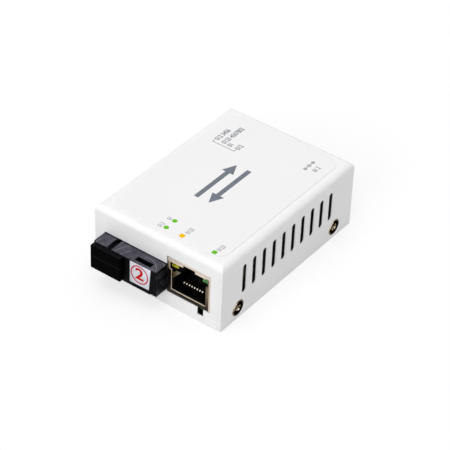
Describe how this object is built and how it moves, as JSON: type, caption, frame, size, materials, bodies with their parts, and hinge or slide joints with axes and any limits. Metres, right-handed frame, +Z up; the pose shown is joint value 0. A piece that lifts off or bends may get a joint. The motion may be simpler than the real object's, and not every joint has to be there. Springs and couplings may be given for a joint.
{
  "type": "fibre media converter",
  "caption": "Small white sheet-steel box with a capped fibre port and a shielded network jack in front, vents in its sides, and a DC inlet and mode switch behind.",
  "frame": {"origin": "middle of the flat underside of the case's base tray", "axes": "+X to the right along the front face, +Y from the port face to the rear, +Z up"},
  "size_m": [0.05, 0.0783, 0.0252],
  "materials": {
    "case_paint": "fine-textured white powder coat",
    "overlay_print": "printed satin film",
    "screw_nickel": "bright nickel plate",
    "optic_plastic": "spark-textured black moulding",
    "cap_plastic": "smooth black moulding",
    "sticker_paper": "coated paper",
    "barrel_steel": "turned",
    "sleeve_ceramic": "polished",
    "shield_nickel": "bright nickel plate",
    "jack_plastic": "black moulding",
    "contact_gold": "gold plate",
    "lamp_yellow": "translucent",
    "lamp_green": "translucent",
    "tinned_lead": "tinned",
    "light_pipe_clear": "clear moulded acrylic",
    "status_lamp": "translucent",
    "board_green": "solder mask",
    "standoff_brass": "turned",
    "board_screw_steel": "zinc plated",
    "inlet_plastic": "black moulding",
    "switch_plastic": "black moulding",
    "lever_plastic": "white moulding",
    "chip_plastic": "moulded package",
    "can_metal": "drawn can",
    "capacitor_metal": "drawn can",
    "inductor_ferrite": "ferrite",
    "component_body": "fired ceramic"
  },
  "bodies": {
    "case": {"top_cover": "case_paint", "base_tray": "case_paint", "case_screws": "screw_nickel", "label_overlay": "overlay_print", "circuit_board": "board_green", "board_standoffs": "standoff_brass", "board_screws": "board_screw_steel", "transceiver_body": "optic_plastic", "optical_barrel": "barrel_steel", "ferrule_sleeve": "sleeve_ceramic", "latch_clips": "optic_plastic", "transceiver_pins": "tinned_lead", "transceiver_sticker": "sticker_paper", "jack_shield": "shield_nickel", "jack_housing": "jack_plastic", "jack_contacts": "contact_gold", "jack_led_yellow": "lamp_yellow", "jack_led_green": "lamp_green", "jack_led_leads": "tinned_lead", "status_light_pipe": "light_pipe_clear", "status_leds": "status_lamp", "power_jack_body": "inlet_plastic", "power_jack_pin": "tinned_lead", "power_jack_spring": "tinned_lead", "power_jack_terminals": "tinned_lead", "dip_switch_body": "switch_plastic", "dip_switch_pins": "tinned_lead", "switch_chip": "chip_plastic", "switch_chip_leads": "tinned_lead", "magnetics_module": "chip_plastic", "crystal_can": "can_metal", "capacitors": "capacitor_metal", "power_inductor": "inductor_ferrite", "voltage_regulator": "chip_plastic", "memory_chip": "chip_plastic", "small_components": "component_body"},
    "dust_cap_body": {"dust_cap": "cap_plastic"},
    "dip_lever_1": {"dip_lever_1": "lever_plastic"},
    "dip_lever_2": {"dip_lever_2": "lever_plastic"},
    "dip_lever_3": {"dip_lever_3": "lever_plastic"},
    "dip_lever_4": {"dip_lever_4": "lever_plastic"}
  },
  "joints": [
    {"name": "dust_cap_pull", "type": "slide", "parent": "case", "child": "dust_cap_body", "axis": [0, -1, 0], "range_m": [0, 0.008]},
    {"name": "dip_lever_1_slide", "type": "slide", "parent": "case", "child": "dip_lever_1", "axis": [0, 0, 1], "range_m": [0, 0.0012]},
    {"name": "dip_lever_2_slide", "type": "slide", "parent": "case", "child": "dip_lever_2", "axis": [0, 0, 1], "range_m": [0, 0.0012]},
    {"name": "dip_lever_3_slide", "type": "slide", "parent": "case", "child": "dip_lever_3", "axis": [0, 0, 1], "range_m": [0, 0.0012]},
    {"name": "dip_lever_4_slide", "type": "slide", "parent": "case", "child": "dip_lever_4", "axis": [0, 0, 1], "range_m": [0, 0.0012]}
  ]
}
